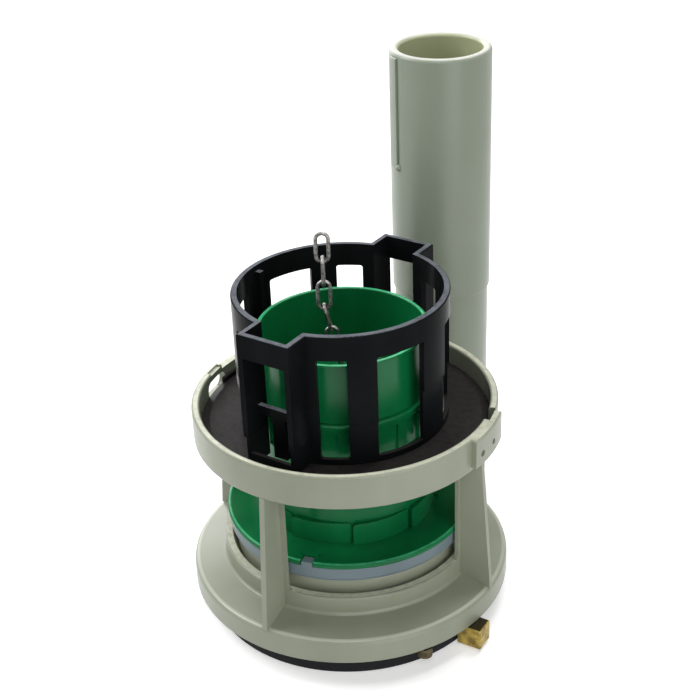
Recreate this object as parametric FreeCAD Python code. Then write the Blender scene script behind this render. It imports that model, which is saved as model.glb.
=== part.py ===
import FreeCAD, Part
import math
import os
from FreeCAD import Rotation, Vector

# A piston flush valve for a cistern, with its overflow pipe beside it.
# Lengths are in millimetres and angles in degrees. The origin is where the valve's axis meets
# the underside of the base flange, +Z is up, and the overflow pipe stands on the +Y side.
# An azimuth is counted from -Y towards +X. Pieces that touch at rest share the same height.

# Fits and gaps
PRESS_GAP = 0.05
SLIDE_GAP = 0.1
DROP_IN_GAP = 0.3
SEAL_GAP = 0.3
STOP_GAP = 0.2
DISC_TO_POST = 0.7
PIPE_TO_RING = 1.9

# Throat and seat
THROAT_R = 44.0
THROAT_TO_SEAT = 6.0
SEAT_STEP = 1.0
SEAT_RELIEF = 1.2
SEAT_LIP_WALL = 3.2
SEAT_SHELF_Z = 8.0
SEAT_TOP = 27.9
SEAT_BODY_H = 12.0

# Base flange
RING_TO_FLANGE = 4.8
FLANGE_RIM_H = 10.6
FLANGE_ROOT_H = 14.0
UPSTAND_WALL = 5.5
UPSTAND_TOP = 22.3
UPSTAND_ROUND = 0.9
SPIGOT_WALL = 3.5
SPIGOT_DEPTH = 8.0

# Base gasket
GASKET_INSET = 6.8
GASKET_T = 11.2

# Spider and mast
HUB_R = 9.0
HUB_H = 16.0
SPIDER_RIBS = 4
SPIDER_RIB_T = 2.4
SPIDER_RIB_H = 11.0
MAST_R = 5.0
MAST_BORE_R = 2.8
MAST_TOP = 82.0

# Seal and its retainer
SEAL_IN_R = 34.0
SEAL_H = 6.8
SEAL_FLANGE_T = 2.0
SEAL_SETBACK = 0.5
RETAINER_T = 2.3
RETAINER_HUB_WALL = 3.0
RETAINER_HUB_H = 6.9
RETAINER_HOLES = 6
RETAINER_HOLE_R = 6.0
RETAINER_HOLE_PCR = 27.0

# Piston
LIFT = 39.1
SEAT_TO_DISC = 3.3
DISC_T = 2.3
BODY_R = 37.2
BODY_WALL = 2.2
BODY_TOP = 94.2
BODY_LIP_H = 2.4
BODY_LIP_OUT = 0.7
LOBES = 9
LOBE_AZ = 13.4
LOBE_SWEEP = 39.2
LOBE_OUT = 2.2
LOBE_FALL = 1.6
LOBE_H = 10.0
LOBE_CORNER = 1.8
CUP_POCKETS = 18
CUP_POCKET_SWEEP = 13.0
CUP_POCKET_H = 13.5
CUP_POCKET_DEPTH = 1.1
SLEEVE_WALL = 2.2
SLEEVE_CAP = 2.5
MAST_HEADROOM = 1.5
PISTON_RIB_T = 2.0
PISTON_RIB_H = 22.0
NOTCH_AZ = (8.5, 14.5)
NOTCH_DEPTH = 4.5
TAB_SWEEP = 9.0
TAB_W = 1.5
TAB_H = 0.9
LUG_GAP = 0.3

# Float cup
CUP_INSET = 1.1
CUP_WALL = 2.0
CUP_TOP = 120.8
CUP_FLOOR_T = 2.4

# Top ring and posts
DISC_TO_RING = 11.7
RING_WALL = 3.4
RING_H = 15.0
LEDGE_T = 2.8
LEDGE_CLEAR = 3.2
POSTS = 4
WEB_T = 2.4
POST_FLANGE_W = 6.0
POST_FOOT_W = 14.0
POST_FOOT_H = 0.3
POST_FOOT_ROUND = 3.4
BOSS_AZ = (82.0, 105.0)
BOSS_OUT = 2.4
BOSS_RISE = 2.2
BOSS_DIMPLE_AZ = (86.3, 95.0)
BOSS_DIMPLE_R = 1.4
BOSS_DIMPLE_DEPTH = 2.2
KEY_AZ = 102.0
KEY_SWEEP = 8.0
KEY_OUT = 2.6
KEY_H = 5.0
CATCH_AZ = (-86.0, -78.0)
CATCH_DEPTH = 2.0
CATCH_H = 0.9
OVAL_AZ = (-89.0, -74.0)
OVAL_Z = (76.6, 84.2)
OVAL_CORNER = 3.4
RELIEF_AZ = (-133.0, -87.0)
RELIEF_H = 2.1

# Lid and cage
LID_T = 2.6
LID_FOOT = 1.9
LID_FOOT_W = 2.8
LID_SLOPE_W = 3.6
LID_SLOPE_H = 0.9
LID_LUG_AZ = (-104.0, -86.0)
LID_LUG_W = 1.6
LID_LUG_H = 1.6
BODY_TO_CAGE = 5.1
CAGE_WALL = 2.6
CAGE_H = 58.0
CAGE_TURN = -2.3
BAY_HALF = 12.2
BAY_OUT = 9.7
BAY_WALL = 2.4
SEAM_STEP = 0.8
SEAM_Z = 98.5
SEAM_BAY_Z = 92.0
SEAM_SIDE_Z = 105.0
SLOT_AZ = ((20.5, 36.0), (51.2, 79.5))
SLOT_SILL = 2.6
SLOT_HEAD = 10.2
SLOT_CORNER = 1.0
BAY_SLOT_SILL = 4.5
CROSSBAR_H = 4.0
CROSSBAR_T = 2.2
CROSSBAR_Z = 99.5
FINGER_W = 6.4
FINGER_GAP = 1.0
GUIDE_AZ = (90.0, 270.0)
GUIDE_T = 2.4
GUIDE_TOP_GAP = 2.5
GUIDE_GAP = 0.3

# Overflow
PIPE_R = 22.3
PIPE_WALL = 4.0
PIPE_BOTTOM = 102.6
PIPE_LENGTH = 111.6
SOCKET_STEP = 0.4
SOCKET_ROOM = 0.5
STUB_STEP = 0.8
STUB_WALL = 3.7
STUB_FOOT_STEP = 1.8
PLUG_H = 19.0
PLUG_WALL = 3.0
DUCT_HALF = 15.0
DUCT_FLOOR = 3.0
DUCT_ROOF = 2.8
DUCT_WALL = 3.0
RING_SEAL_R = 1.05
RING_SEAL_SQUEEZE = 0.05
STRIP_AZ = (-43.0, -29.0)
STRIP_OUT = 0.9
STRIP_LENGTH = 49.0
STRIP_TOP_GAP = 2.0
STRIP_STOP_R = 1.5

# Brass fixings under the flange
BLOCK_SIZE = (10.9, 9.3, 9.8)
BLOCK_OUT = -1.95
BLOCK_Y = -12.85
NUT_AZ = 57.7
NUT_FLATS = 6.4
NUT_H = 5.0
STUD_R = 1.5
STUD_INSET = 2.5
STUD_IN_BASE = 6.0
STUD_TAIL = 0.4

# Chain
CHAIN_AZ = 32.0
CHAIN_LEAN = 12.0
LINKS = 6
LEANING_LINKS = 3
LINK_PITCH = 10.65
LINK_WIRE = 1.6
LINK_WIDTH = 6.7
LINK_GAP = 0.1
EYE_BAR_R = 1.0
EYE_HALF = 3.6
EYE_RISE = 10.4

# Values that follow from the ones above
SEAT_R = THROAT_R + THROAT_TO_SEAT
DISC_R = SEAT_R + SEAT_TO_DISC
RING_R = DISC_R + DISC_TO_RING
FLANGE_R = RING_R + RING_TO_FLANGE
GASKET_R = FLANGE_R - GASKET_INSET
SEAT_IN_R = THROAT_R - SEAT_STEP
SEAT_POCKET_R = SEAT_R + PRESS_GAP
UPSTAND_R = SEAT_POCKET_R + UPSTAND_WALL
SPIGOT_R = THROAT_R + SPIGOT_WALL
SEAL_BOTTOM = SEAT_TOP + SEAL_GAP
DISC_BOTTOM = SEAL_BOTTOM + SEAL_H
DISC_TOP = DISC_BOTTOM + DISC_T
SEAL_FLANGE_BOTTOM = DISC_BOTTOM - SEAL_FLANGE_T
LID_UNDER = DISC_TOP + TAB_H + LIFT + STOP_GAP
LID_TOP = LID_UNDER + LID_T
LEDGE_TOP = LID_UNDER - LID_FOOT
RING_BOTTOM = LEDGE_TOP - LEDGE_T
RING_TOP = RING_BOTTOM + RING_H
RING_IN_R = RING_R - RING_WALL
LID_R = RING_IN_R - DROP_IN_GAP
LEDGE_R = DISC_R + LEDGE_CLEAR
POST_IN_R = DISC_R + DISC_TO_POST
CUP_R = BODY_R - CUP_INSET
CAGE_IN_R = BODY_R + BODY_TO_CAGE
CAGE_R = CAGE_IN_R + CAGE_WALL
BAY_REACH = CAGE_R + BAY_OUT
CAGE_TOP = LID_TOP + CAGE_H
BAY_IN_HALF = BAY_HALF - BAY_WALL
SLOT_Z = (LID_TOP + SLOT_SILL, CAGE_TOP - SLOT_HEAD)
SLEEVE_IN_R = MAST_R + SLIDE_GAP
SLEEVE_R = SLEEVE_IN_R + SLEEVE_WALL
SLEEVE_TOP = MAST_TOP + MAST_HEADROOM + SLEEVE_CAP
RETAINER_BOTTOM = SEAL_FLANGE_BOTTOM - RETAINER_HUB_H
CUP_FLOOR_TOP = SLEEVE_TOP + CUP_FLOOR_T
BODY_IN_R = BODY_R - BODY_WALL
PIPE_Y = RING_R + PIPE_TO_RING + PIPE_R
PIPE_TOP = PIPE_BOTTOM + PIPE_LENGTH
PIPE_BORE_R = PIPE_R - PIPE_WALL
SOCKET_R = PIPE_BORE_R + SOCKET_STEP
STUB_R = PIPE_R - STUB_STEP
STUB_FOOT_R = STUB_R - STUB_FOOT_STEP
PLUG_R = SOCKET_R - PRESS_GAP
BLOCK_CENTRE = (FLANGE_R + BLOCK_OUT, BLOCK_Y)
DUCT_TOP = UPSTAND_TOP
NUT_PCR = GASKET_R + DROP_IN_GAP + NUT_FLATS / math.sqrt(3)
STUD_PLACES = (
    (BLOCK_CENTRE[0] - STUD_INSET, BLOCK_CENTRE[1], BLOCK_SIZE[2] - STUD_TAIL),
    (NUT_PCR * math.sin(math.radians(NUT_AZ)), -NUT_PCR * math.cos(math.radians(NUT_AZ)), NUT_H + STUD_TAIL),
)
EYE_Z = CUP_FLOOR_TOP + EYE_RISE
LINK_INNER = LINK_PITCH + LINK_GAP

UP = Vector(0, 0, 1)
ORIGIN = Vector(0, 0, 0)


def corner_arc(before, corner, after, radius):
    """The two tangent points and the middle of the arc that rounds one corner of a profile."""
    to_before = before - corner
    to_after = after - corner
    room = 0.45 * min(to_before.Length, to_after.Length)
    half = to_before.getAngle(to_after) / 2
    back = min(radius / math.tan(half), room)
    radius = back * math.tan(half)
    to_before.normalize()
    to_after.normalize()
    middle = to_before + to_after
    middle.normalize()
    centre = corner + middle * (radius / math.sin(half))
    return corner + to_before * back, centre - middle * radius, corner + to_after * back


def profile(corners, lift):
    """A closed wire through the corners (u, v, rounding), where lift places (u, v) in space."""
    points = [lift(u, v) for u, v, _ in corners]
    edges = []
    last = None
    first = None
    for i, (_, _, rounding) in enumerate(corners):
        if rounding:
            start, middle, end = corner_arc(points[i - 1], points[i], points[(i + 1) % len(points)], rounding)
        else:
            start = middle = end = points[i]
        if last is None:
            first = start
        elif (start - last).Length > 1e-6:
            edges.append(Part.makeLine(last, start))
        if rounding:
            edges.append(Part.Arc(start, middle, end).toShape())
        last = end
    if (first - last).Length > 1e-6:
        edges.append(Part.makeLine(last, first))
    return Part.Face(Part.Wire(edges))


def lathe(corners, centre=ORIGIN):
    """A solid turned about the upright axis through centre from the corners (r, z, rounding)."""
    face = profile(corners, lambda r, z: Vector(centre.x + r, centre.y, z))
    return face.revolve(centre, UP, 360)


def rod(radius, z0, z1, centre=ORIGIN):
    return Part.makeCylinder(radius, z1 - z0, Vector(centre.x, centre.y, z0))


def tube(r_in, r_out, z0, z1, centre=ORIGIN):
    return rod(r_out, z0, z1, centre).cut(rod(r_in, z0, z1, centre))


def turned(shape, azimuth, centre=ORIGIN):
    """The shape, made at azimuth 0, turned about the upright axis to its azimuth."""
    placed = shape.copy()
    placed.rotate(centre, UP, azimuth)
    return placed


def sector(r_in, r_out, az, z0, z1, centre=ORIGIN):
    """A piece of a tube between two azimuths."""
    wedge = Part.makeCylinder(r_out, z1 - z0, Vector(centre.x, centre.y, z0), UP, az[1] - az[0])
    wedge = wedge.cut(rod(r_in, z0, z1, centre))
    return turned(wedge, az[0] - 90, centre)


def centred(middle, sweep):
    return (middle - sweep / 2, middle + sweep / 2)


def radial_plate(r_in, r_out, thickness, z0, z1):
    """An upright plate along azimuth 0."""
    return Part.makeBox(thickness, r_out - r_in, z1 - z0, Vector(-thickness / 2, -r_out, z0))


def radial_rod(radius, r_in, r_out, z, azimuth):
    """A level round bar pointing outwards."""
    bar = Part.makeCylinder(radius, r_out - r_in, Vector(0, -r_in, z), Vector(0, -1, 0))
    return turned(bar, azimuth)


def fused(shapes):
    first, *rest = shapes
    return first.fuse(rest).removeSplitter() if rest else first


def softened(shape, radius, wanted):
    """The shape with the edges that wanted picks rounded off."""
    edges = [edge for edge in shape.Edges if wanted(edge)]
    return shape.makeFillet(radius, edges) if edges else shape


def is_level(edge, z):
    return all(abs(vertex.Z - z) < 1e-4 for vertex in edge.Vertexes) and abs(edge.CenterOfMass.z - z) < 1e-4


def is_level_line(edge):
    return edge.Curve.TypeId == "Part::GeomLine" and is_level(edge, edge.Vertexes[0].Z)


def pipe_axis():
    return Vector(0, PIPE_Y, 0)


def base_body():
    """Flange, upstand, shelf for the seat and the spigot below, in one turned piece."""
    return lathe([
        (THROAT_R, -SPIGOT_DEPTH, 0.5),
        (SPIGOT_R, -SPIGOT_DEPTH, 1.2),
        (SPIGOT_R, 0, 0),
        (FLANGE_R, 0, 0.8),
        (FLANGE_R, FLANGE_RIM_H, 2.2),
        (UPSTAND_R, FLANGE_ROOT_H, 1.5),
        (UPSTAND_R, UPSTAND_TOP, UPSTAND_ROUND),
        (SEAT_POCKET_R + 1.7, UPSTAND_TOP, 0.6),
        (SEAT_POCKET_R + 1.7, UPSTAND_TOP - 3.4, 0),
        (SEAT_POCKET_R, UPSTAND_TOP - 4.6, 0),
        (SEAT_POCKET_R, SEAT_SHELF_Z, 0),
        (THROAT_R + SEAT_RELIEF, SEAT_SHELF_Z, 0),
        (THROAT_R, SEAT_SHELF_Z - SEAT_RELIEF, 0),
    ])


def overflow_stub():
    """The upright tube that carries the overflow pipe, with a plug at the top and a foot in the base."""
    wide = STUB_R - STUB_WALL
    narrow = PLUG_R - PLUG_WALL
    foot = DUCT_TOP - DUCT_ROOF
    stub = lathe([
        (wide, foot, 0.4),
        (STUB_FOOT_R, foot, 0.6),
        (STUB_FOOT_R, DUCT_TOP, 0),
        (STUB_R, DUCT_TOP, 0),
        (STUB_R, PIPE_BOTTOM, 0),
        (PLUG_R, PIPE_BOTTOM, 0),
        (PLUG_R, PIPE_BOTTOM + PLUG_H, 1.0),
        (narrow, PIPE_BOTTOM + PLUG_H, 0.5),
        (narrow, PIPE_BOTTOM, 0),
        (wide, PIPE_BOTTOM - 2 * (wide - narrow), 0),
    ], pipe_axis())
    return stub.cut(ring_seal_groove())


def duct_end():
    """The round end of the duct, in which the upright tube stands."""
    return rod(STUB_R, 0, DUCT_TOP, pipe_axis())


def duct_end_bore():
    bore = rod(STUB_R - STUB_WALL, DUCT_FLOOR, DUCT_TOP, pipe_axis())
    socket = rod(STUB_FOOT_R + PRESS_GAP, DUCT_TOP - DUCT_ROOF, DUCT_TOP, pipe_axis())
    return bore.fuse(socket)


def ring_seal_groove():
    middle = PIPE_BOTTOM + PLUG_H / 2
    depth = PLUG_R - 2 * RING_SEAL_R + RING_SEAL_SQUEEZE
    return tube(depth, PLUG_R + 1, middle - 1.3, middle + 1.3, pipe_axis())


def duct(half, y0, z0, z1):
    """A level duct from the throat to the stub."""
    return Part.makeBox(2 * half, PIPE_Y - y0, z1 - z0, Vector(-half, y0, z0))


def duct_passage():
    return duct(DUCT_HALF, THROAT_R - 6, DUCT_FLOOR, DUCT_TOP - DUCT_ROOF)


def valve_base():
    casing = duct(DUCT_HALF + DUCT_WALL, SEAT_R + 1.7, 0, DUCT_TOP)
    casing = softened(casing, 1.2, lambda e: is_level(e, DUCT_TOP) and e.Length > PIPE_Y - SEAT_R - 5)
    body = fused([base_body(), casing, duct_end()]).cut([duct_end_bore(), duct_passage()])
    body = body.cut(rod(THROAT_R, -SPIGOT_DEPTH, SEAT_SHELF_Z))
    body = body.cut(rod(SEAT_POCKET_R, SEAT_SHELF_Z, UPSTAND_TOP))
    stud_holes = [rod(STUD_R, 0, STUD_IN_BASE, Vector(x, y, 0)) for x, y, _ in STUD_PLACES]
    return body.cut(stud_holes).removeSplitter()


def seat_insert():
    """The seat's lip, with the spider and hub that carry the mast."""
    lip_in = SEAT_R - SEAT_LIP_WALL
    lip = lathe([
        (SEAT_IN_R, SEAT_SHELF_Z, 0),
        (SEAT_R, SEAT_SHELF_Z, 0),
        (SEAT_R, SEAT_TOP, 1.2),
        (lip_in, SEAT_TOP, 1.2),
        (lip_in, SEAT_SHELF_Z + SEAT_BODY_H, 0.8),
        (SEAT_IN_R, SEAT_SHELF_Z + SEAT_BODY_H, 0.8),
    ])
    lip = lip.cut(duct_passage())
    top = SEAT_SHELF_Z + SPIDER_RIB_H
    rib = radial_plate(HUB_R - 2, SEAT_IN_R + 1, SPIDER_RIB_T, SEAT_SHELF_Z, top)
    pitch = 360 / SPIDER_RIBS
    ribs = [turned(rib, (i + 0.5) * pitch) for i in range(SPIDER_RIBS)]
    hub = lathe([
        (0, SEAT_SHELF_Z, 0),
        (HUB_R, SEAT_SHELF_Z, 1.0),
        (HUB_R, SEAT_SHELF_Z + HUB_H, 1.5),
        (0, SEAT_SHELF_Z + HUB_H, 0),
    ])
    socket = rod(MAST_R + PRESS_GAP, SEAT_SHELF_Z, SEAT_SHELF_Z + HUB_H)
    return fused([lip, hub] + ribs).cut(socket)


def guide_mast():
    """The fixed upright tube that the piston slides on."""
    return lathe([
        (MAST_BORE_R, SEAT_SHELF_Z, 0.4),
        (MAST_R, SEAT_SHELF_Z, 0.8),
        (MAST_R, MAST_TOP, 1.4),
        (MAST_BORE_R, MAST_TOP, 0.5),
    ])


def base_gasket():
    inner = SPIGOT_R + DROP_IN_GAP
    return lathe([
        (inner, 0, 0),
        (GASKET_R, 0, 0.8),
        (GASKET_R, -GASKET_T, 1.6),
        (inner, -GASKET_T, 1.0),
    ])


def fixing_block():
    """A square brass block drawn up against the flange on its stud."""
    length, width, height = BLOCK_SIZE
    x, y = BLOCK_CENTRE
    block = Part.makeBox(length, width, height, Vector(x - length / 2, y - width / 2, -height))
    block = block.makeChamfer(0.4, block.Edges)
    stud_x, stud_y, _ = STUD_PLACES[0]
    return block.cut(rod(STUD_R + PRESS_GAP, -height, 0, Vector(stud_x, stud_y, 0)))


def fixing_nut():
    """A small hexagon nut on the second stud."""
    x, y, _ = STUD_PLACES[1]
    radius = NUT_FLATS / math.sqrt(3)
    corners = [Vector(x + radius * math.cos(a), y + radius * math.sin(a), -NUT_H)
               for a in (math.radians(60 * i + NUT_AZ) for i in range(7))]
    nut = Part.Face(Part.makePolygon(corners)).extrude(Vector(0, 0, NUT_H))
    crown = lathe([
        (0, -NUT_H, 0),
        (radius - 0.3, -NUT_H, 0.9),
        (radius, 0, 0),
        (0, 0, 0),
    ], Vector(x, y, 0))
    return nut.common(crown).cut(rod(STUD_R + PRESS_GAP, -NUT_H, 0, Vector(x, y, 0)))


def fixing_studs():
    return Part.makeCompound([
        rod(STUD_R - PRESS_GAP, -length, STUD_IN_BASE, Vector(x, y, 0)) for x, y, length in STUD_PLACES
    ])


def overflow_pipe():
    socket_top = PIPE_BOTTOM + PLUG_H + SOCKET_ROOM
    pipe = lathe([
        (PIPE_BORE_R, socket_top, 0),
        (SOCKET_R, socket_top, 0),
        (SOCKET_R, PIPE_BOTTOM, 0.4),
        (PIPE_R, PIPE_BOTTOM, 0.5),
        (PIPE_R, PIPE_TOP, 1.7),
        (PIPE_BORE_R, PIPE_TOP, 1.5),
    ], pipe_axis())
    top = PIPE_TOP - STRIP_TOP_GAP
    strip = sector(PIPE_R - 0.5, PIPE_R + STRIP_OUT, STRIP_AZ, top - STRIP_LENGTH, top, pipe_axis())
    stop = Part.makeSphere(STRIP_STOP_R, Vector(0, PIPE_Y - PIPE_R, top - STRIP_LENGTH))
    stop = turned(stop, STRIP_AZ[1], pipe_axis())
    added = fused([pipe, strip, stop])
    return added.cut(rod(PIPE_BORE_R, PIPE_BOTTOM, PIPE_TOP - 3, pipe_axis()))


def pipe_ring_seal():
    """The rubber ring between the plug and the pipe's bore."""
    middle = PIPE_BOTTOM + PLUG_H / 2
    radius = PLUG_R - RING_SEAL_R + RING_SEAL_SQUEEZE / 2
    return Part.makeTorus(radius, RING_SEAL_R - RING_SEAL_SQUEEZE / 2, Vector(0, PIPE_Y, middle), UP)


def post():
    """One post at azimuth 0: a web that flares to the flange's edge, and an inner flange that
    stands on the upstand with a rounded foot."""
    lean = [
        (POST_IN_R, FLANGE_RIM_H, 0),
        (FLANGE_R, FLANGE_RIM_H, 0),
        (RING_R, RING_BOTTOM, 0),
        (RING_R - 1, RING_BOTTOM + 1, 0),
        (POST_IN_R, RING_BOTTOM + 1, 0),
    ]
    web = profile(lean, lambda r, z: Vector(-WEB_T / 2, -r, z)).extrude(Vector(WEB_T, 0, 0))
    half = POST_FLANGE_W / 2
    foot = POST_FOOT_W / 2
    foot_top = UPSTAND_TOP + POST_FOOT_H
    outline = [
        (-foot, UPSTAND_TOP - UPSTAND_ROUND, 0),
        (foot, UPSTAND_TOP - UPSTAND_ROUND, 0),
        (foot, foot_top, 0),
        (half, foot_top, POST_FOOT_ROUND),
        (half, RING_BOTTOM + 1, 0),
        (-half, RING_BOTTOM + 1, 0),
        (-half, foot_top, POST_FOOT_ROUND),
        (-foot, foot_top, 0),
    ]
    flange = profile(outline, lambda x, z: Vector(x, 0, z)).extrude(Vector(0, -UPSTAND_R, 0))
    flange = flange.common(tube(POST_IN_R, UPSTAND_R, UPSTAND_TOP - UPSTAND_ROUND, RING_BOTTOM + 1))
    return fused([web, flange])


def ring_boss():
    """The thickened part of the ring, with two small dimples in its face."""
    r_face = RING_R + BOSS_OUT
    bottom = RING_BOTTOM + BOSS_RISE
    boss = sector(RING_IN_R, r_face, BOSS_AZ, bottom, RING_TOP)
    boss = softened(boss, 0.9, lambda e: is_level(e, RING_TOP) and e.CenterOfMass.Length > RING_R)
    z = (bottom + RING_TOP) / 2 - 1.5
    r_in = r_face - BOSS_DIMPLE_DEPTH
    return boss.cut([radial_rod(BOSS_DIMPLE_R, r_in, r_face + 2, z, az) for az in BOSS_DIMPLE_AZ])


def catch_hole():
    """The oval hole through the ring's wall below the catch."""
    return softened(sector(RING_IN_R - 2, RING_R + 2, OVAL_AZ, *OVAL_Z), OVAL_CORNER, is_level_line)


def top_frame(base):
    ring = lathe([
        (LEDGE_R, RING_BOTTOM, 0.5),
        (RING_R, RING_BOTTOM, 1.2),
        (RING_R, RING_TOP, 0.9),
        (RING_IN_R, RING_TOP, 0.9),
        (RING_IN_R, LEDGE_TOP, 0),
        (LEDGE_R, LEDGE_TOP, 0.4),
    ])
    posts = [turned(post(), 360 / POSTS * i) for i in range(POSTS)]
    frame = fused([ring, ring_boss()] + posts)
    inside = RING_IN_R - 1
    key_r = RING_IN_R + KEY_OUT + DROP_IN_GAP
    cuts = [
        sector(inside, key_r, centred(KEY_AZ, KEY_SWEEP + 1), LID_UNDER, RING_TOP + 1),
        sector(inside, RING_IN_R + CATCH_DEPTH, CATCH_AZ, RING_TOP - CATCH_H, RING_TOP + 1),
        sector(inside, RING_R + 1, RELIEF_AZ, RING_TOP - RELIEF_H, RING_TOP + 1),
        catch_hole(),
    ]
    stub_room = rod(STUB_R + DROP_IN_GAP, 0, RING_BOTTOM, pipe_axis())
    return frame.cut(cuts).cut([base, duct_passage(), stub_room]).removeSplitter()


def cage_plan(radius, half, reach, z0, z1):
    """The cage's plan as a solid: a round body with a square bay at the front and the back."""
    bay = Part.makeBox(2 * half, 2 * reach, z1 - z0, Vector(-half, -reach, z0))
    return fused([rod(radius, z0, z1), bay])


def cage_inside(z0, z1):
    return cage_plan(CAGE_IN_R, BAY_IN_HALF, BAY_REACH - BAY_WALL, z0, z1)


def cage_slots():
    """The side slots, the same on both sides of each bay, and the open fronts of both bays."""
    cuts = []
    front = radial_plate(CAGE_R + 1, BAY_REACH + 1, 2 * BAY_IN_HALF, LID_TOP + BAY_SLOT_SILL, SLOT_Z[1])
    for turn in (0, 180):
        cuts.append(turned(front, turn))
        for start, end in SLOT_AZ:
            for az in ((start, end), (-end, -start)):
                slot = softened(sector(CAGE_IN_R - 6, CAGE_R + 1, az, *SLOT_Z), SLOT_CORNER, is_level_line)
                cuts.append(turned(slot, turn))
    return cuts


def cage_fingers():
    """In each bay, a bar between its side walls and the springy finger that hangs from it."""
    outer = CAGE_R + CROSSBAR_T
    bar = radial_plate(CAGE_R, outer, 2 * BAY_IN_HALF + 1, CROSSBAR_Z, CROSSBAR_Z + CROSSBAR_H)
    finger = radial_plate(CAGE_R, outer, FINGER_W, LID_TOP + FINGER_GAP, CROSSBAR_Z + 1)
    return [turned(fused([bar, finger]), turn) for turn in (0, 180)]


def cage_guides():
    """Upright ribs on the inside that keep the piston upright."""
    r_in = BODY_R + LOBE_OUT + GUIDE_GAP
    rib = radial_plate(r_in, CAGE_IN_R + 1, GUIDE_T, LID_UNDER, CAGE_TOP - GUIDE_TOP_GAP)
    return [turned(rib, az) for az in GUIDE_AZ]


def seam_zone():
    """Everything below the stepped seam between the lid's collar and the crown."""
    r = BAY_REACH + 5
    low = LID_UNDER - 1
    cage_r = CAGE_R + 2
    side_az = (SLOT_AZ[1][1] - 1, 181 - SLOT_AZ[1][1])
    zone = [rod(cage_r, low, SEAM_Z)]
    zone += [turned(sector(CAGE_IN_R - 8, cage_r, side_az, low, SEAM_SIDE_Z), turn) for turn in (0, 180)]
    bay = radial_plate(CAGE_R - 4, r, 2 * BAY_HALF + 2, SEAM_BAY_Z, CAGE_TOP + 1)
    bays = [turned(bay, turn) for turn in (0, 180)]
    below_bays = Part.makeBox(2 * BAY_HALF + 2, 2 * r, SEAM_BAY_Z - low, Vector(-BAY_HALF - 1, -r, low))
    return fused(zone).cut(bays).fuse(below_bays)


def cage_lid(zone):
    """The round lid with its collar, on which the crown stands."""
    plate = lathe([
        (CAGE_IN_R, LID_UNDER, 0.4),
        (LID_R - LID_FOOT_W, LID_UNDER, 0),
        (LID_R - LID_FOOT_W, LEDGE_TOP, 0.3),
        (LID_R, LEDGE_TOP, 0.3),
        (LID_R, LID_TOP - LID_SLOPE_H, 0.5),
        (LID_R - LID_SLOPE_W, LID_TOP, 1.0),
        (CAGE_IN_R, LID_TOP, 0),
    ])
    step = SEAM_STEP
    collar = cage_plan(CAGE_R - step, BAY_HALF - step, BAY_REACH - step, LID_UNDER, CAGE_TOP)
    collar = collar.cut(cage_inside(LID_UNDER, CAGE_TOP))
    collar = fused([collar] + cage_guides()).common(zone)
    key = sector(LID_R - 2, RING_IN_R + KEY_OUT, centred(KEY_AZ, KEY_SWEEP), LID_UNDER, LID_UNDER + KEY_H)
    lug = sector(LID_R - LID_LUG_W, LID_R, LID_LUG_AZ, LID_UNDER, LID_TOP + LID_LUG_H)
    body = plate.cut(cage_inside(LID_UNDER - 1, LID_TOP + 1))
    body = fused([body, collar.cut(cage_slots())])
    return fused([turned(body, CAGE_TURN), key, lug])


def cage_crown(zone):
    """The upper part of the cage, open at the top."""
    crown = cage_plan(CAGE_R, BAY_HALF, BAY_REACH, LID_UNDER, CAGE_TOP)
    crown = softened(crown, 0.8, lambda e: is_level(e, CAGE_TOP))
    crown = crown.cut(cage_inside(LID_UNDER, CAGE_TOP + 1))
    crown = fused([crown] + cage_guides()).cut(cage_slots()).cut(zone)
    return turned(fused([crown] + cage_fingers()), CAGE_TURN)


def piston_disc():
    return lathe([
        (SLEEVE_IN_R, DISC_BOTTOM, 0),
        (DISC_R, DISC_BOTTOM, 0.9),
        (DISC_R, DISC_TOP, 1.1),
        (SLEEVE_IN_R, DISC_TOP, 0),
    ])


def piston_sleeve():
    """The closed sleeve inside the piston that runs on the mast."""
    return lathe([
        (SLEEVE_IN_R, RETAINER_BOTTOM, 0.4),
        (SLEEVE_R, RETAINER_BOTTOM, 0.4),
        (SLEEVE_R, SLEEVE_TOP, 0),
        (0, SLEEVE_TOP, 0),
        (0, SLEEVE_TOP - SLEEVE_CAP, 0),
        (SLEEVE_IN_R, SLEEVE_TOP - SLEEVE_CAP, 0),
    ])


def piston_wall():
    """The round wall of the piston with the lip that the cup stands on."""
    lip_r = BODY_R + BODY_LIP_OUT
    return lathe([
        (BODY_IN_R, DISC_BOTTOM, 0),
        (BODY_R, DISC_BOTTOM, 0),
        (BODY_R, BODY_TOP - BODY_LIP_H, 0),
        (lip_r, BODY_TOP - BODY_LIP_H, 0.4),
        (lip_r, BODY_TOP, 0.7),
        (BODY_IN_R, BODY_TOP, 0),
    ])


def piston_lobe():
    """One raised panel at azimuth 0, proud at its start and falling back towards its end."""
    half = math.radians(LOBE_SWEEP / 2)
    offset = LOBE_FALL / 2 / math.sin(half)
    centre = Vector(-offset, 0, 0)
    radius = BODY_R + LOBE_OUT - LOBE_FALL / 2
    top = DISC_TOP + LOBE_H
    panel = sector(BODY_R - 0.5, BODY_R + LOBE_OUT + 1, centred(0, LOBE_SWEEP), DISC_TOP - 0.5, top)
    return softened(panel, LOBE_CORNER, is_level_line).common(rod(radius, DISC_TOP - 0.5, top, centre))


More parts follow.
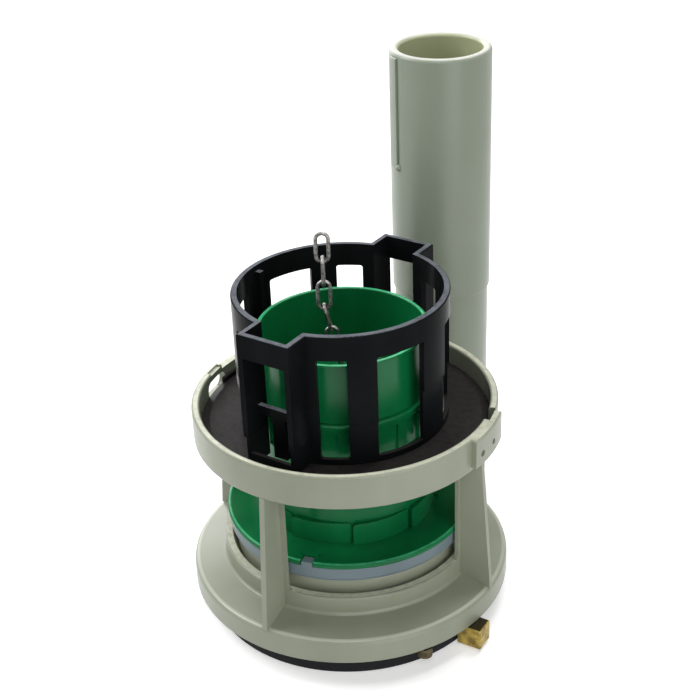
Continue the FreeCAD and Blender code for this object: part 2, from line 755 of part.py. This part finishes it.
def piston_body():
    lobes = [turned(piston_lobe(), LOBE_AZ + i * 360 / LOBES) for i in range(LOBES)]
    rib = radial_plate(SLEEVE_R - 0.5, BODY_IN_R + 0.5, PISTON_RIB_T, DISC_TOP - 0.5, DISC_TOP + PISTON_RIB_H)
    ribs = [turned(rib, 90 * i + 45) for i in range(4)]
    notch_in = DISC_R - NOTCH_DEPTH
    tab_az = centred(sum(NOTCH_AZ) / 2, TAB_SWEEP)
    tab = sector(notch_in - TAB_W, notch_in, tab_az, DISC_TOP - 0.5, DISC_TOP + TAB_H)
    body = fused([piston_disc(), piston_sleeve(), piston_wall(), tab] + lobes + ribs)
    body = body.cut(sector(notch_in, DISC_R + 1, NOTCH_AZ, DISC_BOTTOM, DISC_TOP + TAB_H + 1))
    top = BODY_TOP - BODY_LIP_H - 1.8
    pitch = 360 / CUP_POCKETS
    pockets = [sector(BODY_R - CUP_POCKET_DEPTH, BODY_R + 1, centred(i * pitch, CUP_POCKET_SWEEP),
                      top - CUP_POCKET_H, top) for i in range(CUP_POCKETS)]
    return body.cut(pockets)


def chain_eye():
    """The arch in the cup that the first link hangs in, its bar along the chain's azimuth."""
    leg_r = EYE_BAR_R
    straight = EYE_RISE - EYE_HALF
    arch = Part.makeTorus(EYE_HALF, leg_r, ORIGIN, Vector(0, 0, 1), 0, 360, 180)
    arch.rotate(ORIGIN, Vector(1, 0, 0), 90)
    arch.translate(Vector(0, 0, straight))
    legs = [Part.makeCylinder(leg_r, straight + 1, Vector(side * EYE_HALF, 0, -1)) for side in (-1, 1)]
    eye = fused([arch] + legs)
    eye.rotate(ORIGIN, UP, CHAIN_AZ)
    eye.translate(Vector(0, 0, CUP_FLOOR_TOP))
    return eye


def float_cup():
    """The open cup on top of the piston, with a plug end inside the piston's wall."""
    plug_r = BODY_IN_R - PRESS_GAP
    inner = CUP_R - CUP_WALL
    shell = lathe([
        (0, SLEEVE_TOP, 0),
        (plug_r, SLEEVE_TOP, 1.0),
        (plug_r, BODY_TOP, 0),
        (CUP_R, BODY_TOP, 0.4),
        (CUP_R, CUP_TOP, 0.8),
        (inner, CUP_TOP, 0.7),
        (inner, BODY_TOP + 1, 1.0),
        (plug_r - CUP_WALL, BODY_TOP - 1, 1.0),
        (plug_r - CUP_WALL, CUP_FLOOR_TOP, 1.5),
        (0, CUP_FLOOR_TOP, 0),
    ])
    return fused([shell, chain_eye()])


def main_seal():
    """The soft ring under the disc: a flat inner flange and a thick outer lip."""
    outer = DISC_R - SEAL_SETBACK
    lip_in = SEAT_R - SEAT_LIP_WALL - 1.2
    lug_az = (NOTCH_AZ[0] + 0.4, NOTCH_AZ[1] - 0.4)
    lug_in = DISC_R - NOTCH_DEPTH + LUG_GAP
    lug = sector(lug_in, outer, lug_az, DISC_BOTTOM - 0.5, DISC_TOP - LUG_GAP)
    ring = lathe([
        (SEAL_IN_R, SEAL_FLANGE_BOTTOM, 0.3),
        (lip_in - 1, SEAL_FLANGE_BOTTOM, 1.0),
        (lip_in, SEAL_BOTTOM, 1.4),
        (outer - 0.4, SEAL_BOTTOM, 2.0),
        (outer, DISC_BOTTOM, 0.6),
        (SEAL_IN_R, DISC_BOTTOM, 0.3),
    ])
    return fused([ring, lug])


def seal_retainer():
    """The dished ring that clamps the seal's flange and grips the sleeve."""
    bore = SLEEVE_R + PRESS_GAP
    outer = SEAT_R - SEAT_LIP_WALL - 3.2
    top = SEAL_FLANGE_BOTTOM
    ring = lathe([
        (bore, RETAINER_BOTTOM, 0.3),
        (bore + RETAINER_HUB_WALL, RETAINER_BOTTOM, 0.6),
        (bore + RETAINER_HUB_WALL, top - RETAINER_T, 1.0),
        (outer, top - RETAINER_T, 0.8),
        (outer, top, 0.5),
        (bore, top, 0),
    ])
    pitch = 360 / RETAINER_HOLES
    holes = []
    for i in range(RETAINER_HOLES):
        place = Vector(0, -RETAINER_HOLE_PCR, 0)
        holes.append(turned(rod(RETAINER_HOLE_R, top - RETAINER_T - 1, top + 1, place), i * pitch))
    return ring.cut(holes)


def chain_link():
    """One oval link standing on end in the plane of azimuth 90, its middle at the origin."""
    bend = (LINK_WIDTH - LINK_WIRE) / 2
    wire = LINK_WIRE / 2
    straight = LINK_INNER + LINK_WIRE - 2 * bend
    pieces = []
    for side in (-1, 1):
        pieces.append(Part.makeCylinder(wire, straight, Vector(side * bend, 0, -straight / 2)))
        half = Part.makeTorus(bend, wire, ORIGIN, UP, 0, 360, 180)
        half.rotate(ORIGIN, Vector(1, 0, 0), 90 * side)
        half.translate(Vector(0, 0, side * straight / 2))
        pieces.append(half)
    return fused(pieces)


def chain_knots():
    """The points where the chain's links meet, from the eye upwards."""
    lean = math.radians(CHAIN_LEAN)
    side = Vector(-math.cos(math.radians(CHAIN_AZ)), -math.sin(math.radians(CHAIN_AZ)), 0)
    leaning = side * (LINK_PITCH * math.sin(lean)) + UP * (LINK_PITCH * math.cos(lean))
    knots = [Vector(0, 0, EYE_Z - EYE_BAR_R - LINK_GAP / 2)]
    for index in range(LINKS):
        knots.append(knots[-1] + (leaning if index < LEANING_LINKS else UP * LINK_PITCH))
    return knots


def placed_link(index, knots):
    """Seen from the chain's azimuth, links stand edge-on and face-on by turns. The first ones
    lean over from the eye in the cup's middle, and the rest stand upright."""
    link = chain_link()
    link.rotate(ORIGIN, UP, 0 if index % 2 else 90)
    link.rotate(ORIGIN, Vector(0, 1, 0), -CHAIN_LEAN if index < LEANING_LINKS else 0)
    link.rotate(ORIGIN, UP, CHAIN_AZ)
    link.translate((knots[index] + knots[index + 1]) / 2)
    return link


def write(name, shape):
    shape.exportStep(f"parts/{name}.step")


def main():
    os.makedirs("parts", exist_ok=True)
    base = valve_base()
    zone = seam_zone()
    write("valve_base", base)
    write("seat_insert", seat_insert())
    write("guide_mast", guide_mast())
    write("base_gasket", base_gasket())
    write("fixing_block", fixing_block())
    write("fixing_nut", fixing_nut())
    write("fixing_studs", fixing_studs())
    write("overflow_stub", overflow_stub())
    write("overflow_pipe", overflow_pipe())
    write("pipe_ring_seal", pipe_ring_seal())
    write("top_frame", top_frame(base))
    write("cage_lid", cage_lid(zone))
    write("cage_crown", cage_crown(zone))
    write("piston_body", piston_body())
    write("float_cup", float_cup())
    write("main_seal", main_seal())
    write("seal_retainer", seal_retainer())
    knots = chain_knots()
    for index in range(LINKS):
        write(f"chain_link_{index + 1}", placed_link(index, knots))


main()
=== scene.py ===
import bpy
from mathutils import Matrix, Vector


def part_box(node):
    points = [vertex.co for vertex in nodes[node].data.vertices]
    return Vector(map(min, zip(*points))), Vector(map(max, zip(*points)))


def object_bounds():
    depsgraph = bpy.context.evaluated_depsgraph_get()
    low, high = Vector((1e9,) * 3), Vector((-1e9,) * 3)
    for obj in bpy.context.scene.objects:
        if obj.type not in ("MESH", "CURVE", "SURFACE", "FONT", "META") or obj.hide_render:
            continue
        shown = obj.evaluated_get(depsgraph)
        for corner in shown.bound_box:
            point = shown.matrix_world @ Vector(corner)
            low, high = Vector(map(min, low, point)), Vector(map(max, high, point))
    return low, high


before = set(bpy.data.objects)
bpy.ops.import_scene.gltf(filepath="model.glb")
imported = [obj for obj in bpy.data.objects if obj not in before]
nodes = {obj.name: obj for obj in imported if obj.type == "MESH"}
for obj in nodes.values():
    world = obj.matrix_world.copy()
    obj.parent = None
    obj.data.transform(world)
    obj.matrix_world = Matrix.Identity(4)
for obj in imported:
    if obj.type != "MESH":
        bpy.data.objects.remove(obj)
cad_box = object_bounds()
MM = 0.001

# The photograph's camera: its place and axes in the row frame, and its focal length in the
# photograph's pixels
CAMERA_AT = Vector((0.27199, -0.43517, 0.38586))
CAMERA_RIGHT = Vector((0.86008, 0.50903, -0.03390))
CAMERA_UP = Vector((-0.21670, 0.42468, 0.87903))
FOCAL_PX = 1398.15
PHOTO_PX = 700
SENSOR_MM = 36.0
CLIP_NEAR = 0.01
CLIP_FAR = 50.0

# Colours, as linear values
GREY_GREEN = (0.292, 0.312, 0.235)
GREY_GREEN_DARK = (0.250, 0.269, 0.198)
# Painted highlight on the level faces of the grey-green plastic that look up
GREY_GREEN_TOP_HIGHLIGHT = (0.60, 0.61, 0.48)
# Painted highlight along the shoulder of the flange
SHOULDER_HIGHLIGHT = (0.43, 0.45, 0.36)
PIPE_GREEN = (0.252, 0.291, 0.224)
PIPE_GREEN_DARK = (0.216, 0.254, 0.191)
# Painted highlight on the pipe's top rim
PIPE_RIM_HIGHLIGHT = (0.50, 0.51, 0.45)
# Painted light: the pipe's inner wall, lighter and yellower than its outside
PIPE_INSIDE_PAINTED_LIGHT = (0.44, 0.47, 0.30)
WHITE_PLASTIC = (0.62, 0.63, 0.58)
BLACK = (0.005, 0.0055, 0.006)
BLACK_WORN = (0.011, 0.012, 0.0135)
# Painted highlight on the black faces that look up, and on the lid's ledge
BLACK_TOP_HIGHLIGHT = (0.13, 0.14, 0.16)
# Painted sheen: the brown that the lid's plate shows on its faces that look up
LID_PAINTED_SHEEN = (0.028, 0.025, 0.0245)
GREEN = (0.0055, 0.185, 0.056)
GREEN_DEEP = (0.003, 0.115, 0.035)
# Painted highlight on the green rims that look up
GREEN_RIM_HIGHLIGHT = (0.07, 0.52, 0.24)
SEAL_GREY = (0.16, 0.215, 0.24)
SEAL_DARK = (0.115, 0.155, 0.175)
GASKET_BLACK = (0.012, 0.012, 0.014)
BRASS = (0.46, 0.35, 0.09)
BRASS_DARK = (0.17, 0.115, 0.035)
# Painted shade: the brass of the nut and studs, darkened as if in the flange's shadow
BRASS_SHADED = (0.13, 0.105, 0.06)
# Painted shade, on brass faces that look up and in the patches of the shaded brass
BRASS_PAINTED_SHADE = (0.045, 0.037, 0.02)
STEEL = (0.30, 0.29, 0.28)
STEEL_DARK = (0.07, 0.066, 0.062)
WHITE = (1.0, 1.0, 1.0)

# The floor. Where it is seen it is lifted towards white, by FLOOR_LIFT near the object. The lift
# grows from FLOOR_NEAR on, in metres from the origin, and is full at FLOOR_FAR
FLOOR_COLOUR = (0.86, 0.86, 0.86)
FLOOR_ROUGH = 0.9
FLOOR_SPECULAR = 0.1
FLOOR_HALF = 3.0
FLOOR_LIFT = 0.42
FLOOR_NEAR = 0.55
FLOOR_FAR = 1.5

# How strongly the white surroundings light the object
WORLD_LIGHT = 0.05

# The lamps: name, place, width of the disc and power. All point at the same spot
LAMP_TARGET = (0, 0.02, 0.08)
LAMPS = (
    ("left_box", (-0.9, -0.3, 0.95), 0.8, 10.8),
    ("back_left_box", (-1.05, 0.6, 0.45), 0.8, 5.6),
    ("right_box", (0.95, -0.35, 0.5), 0.8, 1.7),
    ("near_right_box", (0.5, -0.28, 0.15), 0.4, 0.8),
    ("top_box", (0.0, 0.1, 1.25), 0.5, 4.4),
    ("near_top_box", (0.15, 0.35, 0.8), 0.3, 2.0),
    ("front_box", (0.5, -0.8, 1.1), 0.6, 3.4),
    ("back_box", (-0.72, 1.18, 0.82), 1.0, 2.6),
)

# Patterns of noise: scale, detail, roughness, and the values where the ramp starts and ends
CLOUD = (22.0, 4.0, 0.5, 0.35, 0.70)
FLOW = (40.0, 2.0, 0.5, 0.40, 0.72)
# How unevenly the painted highlights lie on the faces that look up
HIGHLIGHT_UNEVEN = (300.0, 4.0, 0.6, 0.20, 0.62)
GLOSS = (60.0, 3.0, 0.5, 0.30, 0.75)
BRASS_STAIN = (260.0, 6.0, 0.65, 0.35, 0.68)
BRASS_GLOSS = (500.0, 4.0, 0.5, 0.30, 0.70)
STEEL_STAIN = (700.0, 4.0, 0.6, 0.38, 0.72)
STEEL_GLOSS = (900.0, 3.0, 0.5, 0.30, 0.70)

# Flow lines run up the piece and saw lines run along its first axis
FLOW_STRETCH = (1.0, 1.0, 0.18)
SAW_STRETCH = (0.15, 1.0, 1.0)

# Fine grain that only shows as relief: its scale and its depth
GRAIN = (1400.0, 0.02 * MM)
PIPE_GRAIN = (1100.0, 0.02 * MM)
BLACK_GRAIN = (1600.0, 0.012 * MM)
LID_GRAIN = (900.0, 0.03 * MM)
GREEN_GRAIN = (1500.0, 0.012 * MM)
SEAL_GRAIN = (2000.0, 0.02 * MM)
GASKET_GRAIN = (700.0, 0.08 * MM)
SAW_GRAIN = (1500.0, 0.06 * MM)
WIRE_GRAIN = (2600.0, 0.02 * MM)
GRAIN_DETAIL = 2.0

# How much of the darker shade shows where the tone is most uneven
SHADE_SHARE = 0.5
PIPE_SHADE_SHARE = 0.35

# The least share of the painted highlight on a face that looks up
HIGHLIGHT_LEAST = 0.45

# Roughness of each material, and how far it varies over a piece. The metals have a least and a most
PLASTIC_ROUGH = 0.33
PIPE_ROUGH = 0.32
WHITE_ROUGH = 0.45
BLACK_ROUGH = 0.20
LID_ROUGH = 0.36
GREEN_ROUGH = 0.22
SEAL_ROUGH = 0.45
GASKET_ROUGH = 0.62
ROUGH_LESS = 0.03
ROUGH_MORE = 0.04
BRASS_ROUGH = (0.28, 0.55)
STEEL_ROUGH = (0.29, 0.45)

# Specular level of each material, where it isn't the usual 0.5
PLASTIC_SPECULAR = 0.45
BLACK_SPECULAR = 0.015
LID_SPECULAR = 0.04
BODY_SPECULAR = 0.14
CUP_SPECULAR = 0.26
GASKET_SPECULAR = 0.15

# Light that goes a little way into the green plastic
GREEN_DEPTH = 0.15
GREEN_DEPTH_SCALE = 2 * MM
GREEN_DEPTH_RADIUS = (0.2, 1.0, 0.4)

# How wide the soft step between two colours of one piece is, going outwards and going up
STEP_OUT = 0.5 * MM
STEP_UP = 1 * MM

# How far below its top edge the painted highlight on the cup's rim reaches
RIM_HEIGHT = 5 * MM

# From the pipe's outside to the middle of its wall
PIPE_HALF_WALL = 2.2 * MM

# How wide the painted highlight on the flange's shoulder is
SHOULDER_WIDTH = 2.4 * MM

# How wide the painted highlight on the edge of the disc is
RIM_WIDTH = 1.6 * MM

# How far over the frame's ring the painted highlight on the lid's ledge starts
LEDGE_CLEAR = 3 * MM

# How far a face looks up, from 0 to 1, where its painted highlight or shade starts and is full
LOOKS_UP = (0.70, 0.95)
LEVEL_ONLY = (0.975, 0.995)
SHOULDER = (0.66, 0.86)


class Tree:
    """A small helper that adds nodes to one material and links them."""

    def __init__(self, name):
        self.material = bpy.data.materials.new(name)
        self.material.use_nodes = True
        self.nodes = self.material.node_tree.nodes
        self.links = self.material.node_tree.links
        self.shader = self.nodes["Principled BSDF"]
        self.coords = self.nodes.new("ShaderNodeTexCoord").outputs["Object"]

    def set(self, **values):
        for key, value in values.items():
            socket = self.shader.inputs[key.replace("_", " ")]
            socket.default_value = (*value, 1) if socket.type == "RGBA" else value

    def join(self, out, socket):
        self.links.new(out, socket)

    def stretched(self, scale):
        """The object's coordinates, scaled differently along each axis."""
        mapping = self.nodes.new("ShaderNodeMapping")
        mapping.inputs["Scale"].default_value = scale
        self.join(self.coords, mapping.inputs["Vector"])
        return mapping.outputs["Vector"]

    def noise(self, scale, detail, roughness=0.5, coords=None):
        node = self.nodes.new("ShaderNodeTexNoise")
        node.inputs["Scale"].default_value = scale
        node.inputs["Detail"].default_value = detail
        node.inputs["Roughness"].default_value = roughness
        self.join(coords or self.coords, node.inputs["Vector"])
        return node.outputs["Fac"]

    def ramp(self, value, start, end, low=0.0, high=1.0):
        node = self.nodes.new("ShaderNodeMapRange")
        node.interpolation_type = "SMOOTHSTEP"
        limits = {"From Min": start, "From Max": end, "To Min": low, "To Max": high}
        for key, number in limits.items():
            node.inputs[key].default_value = number
        self.join(value, node.inputs["Value"])
        return node.outputs["Result"]

    def patches(self, pattern, low=0.0, high=1.0, coords=None):
        """One of the patterns of noise, ramped from a low value to a high one."""
        scale, detail, roughness, start, end = pattern
        return self.ramp(self.noise(scale, detail, roughness, coords), start, end, low, high)

    def math(self, operation, first, second):
        node = self.nodes.new("ShaderNodeMath")
        node.operation = operation
        for socket, value in zip(node.inputs, (first, second)):
            if isinstance(value, (int, float)):
                socket.default_value = value
            else:
                self.join(value, socket)
        return node.outputs["Value"]

    def times(self, first, second):
        return self.math("MULTIPLY", first, second)

    def blend(self, amount, first, second):
        node = self.nodes.new("ShaderNodeMix")
        node.data_type = "RGBA"
        self.join(amount, node.inputs["Factor"])
        for key, value in (("A", first), ("B", second)):
            socket = [s for s in node.inputs if s.name == key and s.type == "RGBA"][0]
            if isinstance(value, tuple):
                socket.default_value = (*value, 1)
            else:
                self.join(value, socket)
        return [s for s in node.outputs if s.type == "RGBA"][0]

    def above(self, height):
        """1 on the parts of the piece over a height, and 0 below it."""
        parts = self.nodes.new("ShaderNodeSeparateXYZ")
        self.join(self.coords, parts.inputs[0])
        return self.ramp(parts.outputs["Z"], height, height + STEP_UP)

    def from_axis(self, axis):
        """The distance from an upright axis."""
        flat = self.nodes.new("ShaderNodeMapping")
        flat.inputs["Location"].default_value = (-axis[0], -axis[1], 0)
        flat.inputs["Scale"].default_value = (1, 1, 0)
        self.join(self.coords, flat.inputs["Vector"])
        away = self.nodes.new("ShaderNodeVectorMath")
        away.operation = "LENGTH"
        self.join(flat.outputs["Vector"], away.inputs[0])
        return away.outputs["Value"]

    def beyond(self, axis, radius):
        """1 on the parts further than a radius from an upright axis, and 0 nearer to it."""
        return self.ramp(self.from_axis(axis), radius, radius + STEP_OUT)

    def within(self, axis, radius):
        """1 on the parts nearer than a radius to an upright axis, and 0 further from it."""
        return self.ramp(self.from_axis(axis), radius, radius + STEP_OUT, 1.0, 0.0)

    def tops(self, start, end):
        """1 on faces that look up, and 0 on the others. It masks the painted highlights and shade.
        """
        parts = self.nodes.new("ShaderNodeSeparateXYZ")
        facing = self.nodes.new("ShaderNodeTexCoord").outputs["Normal"]
        self.join(facing, parts.inputs[0])
        return self.ramp(parts.outputs["Z"], start, end)

    def relief(self, grain, coords=None):
        """A fine grain, by its scale and depth."""
        scale, depth = grain
        node = self.nodes.new("ShaderNodeBump")
        node.inputs["Distance"].default_value = depth
        self.join(self.noise(scale, GRAIN_DETAIL, coords=coords), node.inputs["Height"])
        self.join(node.outputs["Normal"], self.shader.inputs["Normal"])

    def colour(self, out):
        self.join(out, self.shader.inputs["Base Color"])

    def overlay(self, amount, colour):
        """Blends a colour over the base colour that the material has so far."""
        under = self.shader.inputs["Base Color"].links[0].from_socket
        self.colour(self.blend(amount, under, colour))

    def roughness(self, out):
        self.join(out, self.shader.inputs["Roughness"])


def moulded(name, colour, shade, rough, grain=GRAIN, shade_share=SHADE_SHARE):
    """Moulded plastic or rubber: uneven tone, a fine grain, faint flow lines and uneven gloss."""
    t = Tree(name)
    flow = t.patches(FLOW, coords=t.stretched(FLOW_STRETCH))
    tone = t.times(t.math("ADD", t.patches(CLOUD), flow), shade_share)
    t.colour(t.blend(tone, colour, shade))
    t.roughness(t.patches(GLOSS, rough - ROUGH_LESS, rough + ROUGH_MORE))
    t.relief(grain)
    return t


def paint_top_highlight(t, colour, tilt=LOOKS_UP, where=None):
    """Lays an uneven painted highlight on the faces that look up, all over or in one place."""
    highlight_share = t.patches(HIGHLIGHT_UNEVEN, HIGHLIGHT_LEAST, 1.0)
    if where is not None:
        highlight_share = t.times(highlight_share, where)
    t.overlay(t.times(t.tops(*tilt), highlight_share), colour)


def grey_green_plastic(name="grey_green_plastic"):
    t = moulded(name, GREY_GREEN, GREY_GREEN_DARK, PLASTIC_ROUGH)
    # A painted highlight on the level faces that look up
    paint_top_highlight(t, GREY_GREEN_TOP_HIGHLIGHT, LEVEL_ONLY)
    t.set(Specular_IOR_Level=PLASTIC_SPECULAR)
    return t


def base_plastic():
    """The base's plastic, with a painted highlight along the shoulder of its flange."""
    t = grey_green_plastic("base_plastic")
    flange_edge = -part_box("valve_base")[0].x
    near_edge = t.beyond((0, 0), flange_edge - SHOULDER_WIDTH)
    # A painted highlight on the shoulder, where it looks up
    t.overlay(t.times(t.tops(*SHOULDER), near_edge), SHOULDER_HIGHLIGHT)
    return t


def pipe_plastic():
    """The overflow's plastic: painted, yellower light inside and a painted highlight on the rim."""
    t = moulded("pipe_plastic", PIPE_GREEN, PIPE_GREEN_DARK, PIPE_ROUGH, PIPE_GRAIN,
                PIPE_SHADE_SHARE)
    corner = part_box("overflow_pipe")[1]
    radius = corner.x
    axis = (0, corner.y - radius)
    # Painted light on the inner wall
    t.overlay(t.within(axis, radius - PIPE_HALF_WALL), PIPE_INSIDE_PAINTED_LIGHT)
    # A painted highlight on the faces that look up
    t.overlay(t.tops(*LOOKS_UP), PIPE_RIM_HIGHLIGHT)
    t.set(Specular_IOR_Level=PLASTIC_SPECULAR)
    return t


def white_plastic():
    return moulded("white_plastic", WHITE_PLASTIC, GREY_GREEN, WHITE_ROUGH)


def black_plastic():
    t = moulded("black_plastic", BLACK, BLACK_WORN, BLACK_ROUGH, BLACK_GRAIN)
    # A painted highlight on the faces that look up
    paint_top_highlight(t, BLACK_TOP_HIGHLIGHT)
    t.set(Specular_IOR_Level=BLACK_SPECULAR)
    return t


def lid_plastic():
    """The lid: painted brown sheen on its plate, a black collar, and a painted highlight round the
    collar's top.
    """
    t = moulded("lid_plastic", BLACK, BLACK_WORN, LID_ROUGH, LID_GRAIN)
    # A painted brown sheen on the faces that look up
    paint_top_highlight(t, LID_PAINTED_SHEEN)
    ring_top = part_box("top_frame")[1].z
    # A painted highlight on the ledge round the collar's top
    t.overlay(t.times(t.tops(*LOOKS_UP), t.above(ring_top + LEDGE_CLEAR)), BLACK_TOP_HIGHLIGHT)
    t.set(Specular_IOR_Level=LID_SPECULAR)
    return t


def green_plastic(name, specular):
    t = moulded(name, GREEN, GREEN_DEEP, GREEN_ROUGH, GREEN_GRAIN)
    t.set(Specular_IOR_Level=specular, Subsurface_Weight=GREEN_DEPTH)
    t.set(Subsurface_Scale=GREEN_DEPTH_SCALE, Subsurface_Radius=GREEN_DEPTH_RADIUS)
    return t


def body_green():
    """The piston's green, with a painted highlight along the edge of its disc."""
    t = green_plastic("body_green", BODY_SPECULAR)
    disc_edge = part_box("piston_body")[1].x
    # A painted highlight along the disc's edge
    paint_top_highlight(t, GREEN_RIM_HIGHLIGHT, where=t.beyond((0, 0), disc_edge - RIM_WIDTH))
    return t


def cup_green():
    """The cup's green, with a painted highlight along its rim."""
    t = green_plastic("cup_green", CUP_SPECULAR)
    cup_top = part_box("float_cup")[1].z
    # A painted highlight along the cup's rim
    paint_top_highlight(t, GREEN_RIM_HIGHLIGHT, where=t.above(cup_top - RIM_HEIGHT))
    return t


def seal_rubber():
    return moulded("seal_rubber", SEAL_GREY, SEAL_DARK, SEAL_ROUGH, SEAL_GRAIN)


def gasket_rubber():
    t = moulded("gasket_rubber", GASKET_BLACK, BLACK_WORN, GASKET_ROUGH, GASKET_GRAIN)
    t.set(Specular_IOR_Level=GASKET_SPECULAR)
    return t


def brass(name, main_tone, patch_tone):
    """Sawn and tumbled brass: dull patches, fine saw lines and painted shade on the faces that look
    up.
    """
    t = Tree(name)
    t.colour(t.blend(t.patches(BRASS_STAIN), main_tone, patch_tone))
    # Painted shade on the faces that look up
    t.overlay(t.tops(*LOOKS_UP), BRASS_PAINTED_SHADE)
    t.set(Metallic=1.0)
    t.roughness(t.patches(BRASS_GLOSS, *BRASS_ROUGH))
    t.relief(SAW_GRAIN, t.stretched(SAW_STRETCH))
    return t


def steel_wire():
    t = Tree("steel_wire")
    t.colour(t.blend(t.patches(STEEL_STAIN), STEEL, STEEL_DARK))
    t.set(Metallic=1.0)
    t.roughness(t.patches(STEEL_GLOSS, *STEEL_ROUGH))
    t.relief(WIRE_GRAIN)
    return t


def seen_directly(tree):
    """1 for camera, glossy and transmission rays, and 0 for the rays that light the object."""
    path = tree.nodes.new("ShaderNodeLightPath")
    seen = path.outputs["Is Camera Ray"]
    for ray in ("Is Transmission Ray", "Is Glossy Ray"):
        larger = tree.nodes.new("ShaderNodeMath")
        larger.operation = "MAXIMUM"
        tree.links.new(seen, larger.inputs[0])
        tree.links.new(path.outputs[ray], larger.inputs[1])
        seen = larger.outputs[0]
    return seen


def floor_material():
    """A pale floor that keeps the shadow. Where it is seen it is lifted a little towards white
    near the object, and all the way far from it."""
    t = Tree("floor")
    t.set(Base_Color=FLOOR_COLOUR, Roughness=FLOOR_ROUGH, Specular_IOR_Level=FLOOR_SPECULAR)
    t.set(Emission_Color=WHITE)
    away = t.nodes.new("ShaderNodeVectorMath")
    away.operation = "LENGTH"
    t.join(t.coords, away.inputs[0])
    lift = t.ramp(away.outputs["Value"], FLOOR_NEAR, FLOOR_FAR, FLOOR_LIFT, 1.0)
    seen = seen_directly(t.material.node_tree)
    t.join(t.times(seen, lift), t.shader.inputs["Emission Strength"])
    return t.material


def put_materials():
    """Gives each piece its material. The chain's links, which the list leaves out, are of wire."""
    plastic = grey_green_plastic()
    pipe = pipe_plastic()
    white = white_plastic()
    gasket = gasket_rubber()
    # The nut and studs: brass with painted shade, as if in the flange's shadow
    shaded_brass = brass("shaded_brass", BRASS_SHADED, BRASS_PAINTED_SHADE)
    steel = steel_wire()
    chosen = {
        "valve_base": base_plastic(),
        "seat_insert": plastic,
        "top_frame": plastic,
        "overflow_pipe": pipe,
        "overflow_stub": pipe,
        "guide_mast": white,
        "seal_retainer": white,
        "base_gasket": gasket,
        "pipe_ring_seal": gasket,
        "fixing_block": brass("brass", BRASS, BRASS_DARK),
        "fixing_nut": shaded_brass,
        "fixing_studs": shaded_brass,
        "cage_lid": lid_plastic(),
        "cage_crown": black_plastic(),
        "piston_body": body_green(),
        "float_cup": cup_green(),
        "main_seal": seal_rubber(),
    }
    for name, node in nodes.items():
        node.data.materials.clear()
        node.data.materials.append(chosen.get(name, steel).material)


def make_camera():
    data = bpy.data.cameras.new("photo_camera")
    data.sensor_width = SENSOR_MM
    data.lens = FOCAL_PX / PHOTO_PX * SENSOR_MM
    data.clip_start = CLIP_NEAR
    data.clip_end = CLIP_FAR
    camera = bpy.data.objects.new("photo_camera", data)
    back = CAMERA_RIGHT.cross(CAMERA_UP)
    turn = Matrix((CAMERA_RIGHT, CAMERA_UP, back)).transposed().to_4x4()
    camera.matrix_world = Matrix.Translation(CAMERA_AT) @ turn
    bpy.context.scene.collection.objects.link(camera)
    bpy.context.scene.camera = camera


def area_light(name, at, size, power):
    data = bpy.data.lights.new(name, "AREA")
    data.shape = "DISK"
    data.size = size
    data.energy = power
    lamp = bpy.data.objects.new(name, data)
    lamp.location = at
    lamp.rotation_euler = (Vector(LAMP_TARGET) - Vector(at)).to_track_quat("-Z", "Y").to_euler()
    bpy.context.scene.collection.objects.link(lamp)


def make_world():
    world = bpy.data.worlds.new("studio")
    bpy.context.scene.world = world
    world.use_nodes = True
    tree = world.node_tree
    light = tree.nodes["Background"]
    light.inputs["Color"].default_value = (*WHITE, 1)
    light.inputs["Strength"].default_value = WORLD_LIGHT
    white = tree.nodes.new("ShaderNodeBackground")
    white.inputs["Color"].default_value = (*WHITE, 1)
    white.inputs["Strength"].default_value = 1.0
    mix = tree.nodes.new("ShaderNodeMixShader")
    tree.links.new(seen_directly(tree), mix.inputs[0])
    tree.links.new(light.outputs[0], mix.inputs[1])
    tree.links.new(white.outputs[0], mix.inputs[2])
    tree.links.new(mix.outputs[0], tree.nodes["World Output"].inputs[0])


def make_floor():
    bottom = cad_box[0].z
    half = FLOOR_HALF
    mesh = bpy.data.meshes.new("floor")
    corners = [(-half, -half), (half, -half), (half, half), (-half, half)]
    mesh.from_pydata([(x, y, bottom) for x, y in corners], [], [(0, 1, 2, 3)])
    floor = bpy.data.objects.new("floor", mesh)
    mesh.materials.append(floor_material())
    bpy.context.scene.collection.objects.link(floor)


put_materials()
make_camera()
make_world()
make_floor()
for lamp in LAMPS:
    area_light(*lamp)
bpy.context.scene.view_settings.view_transform = "Standard"
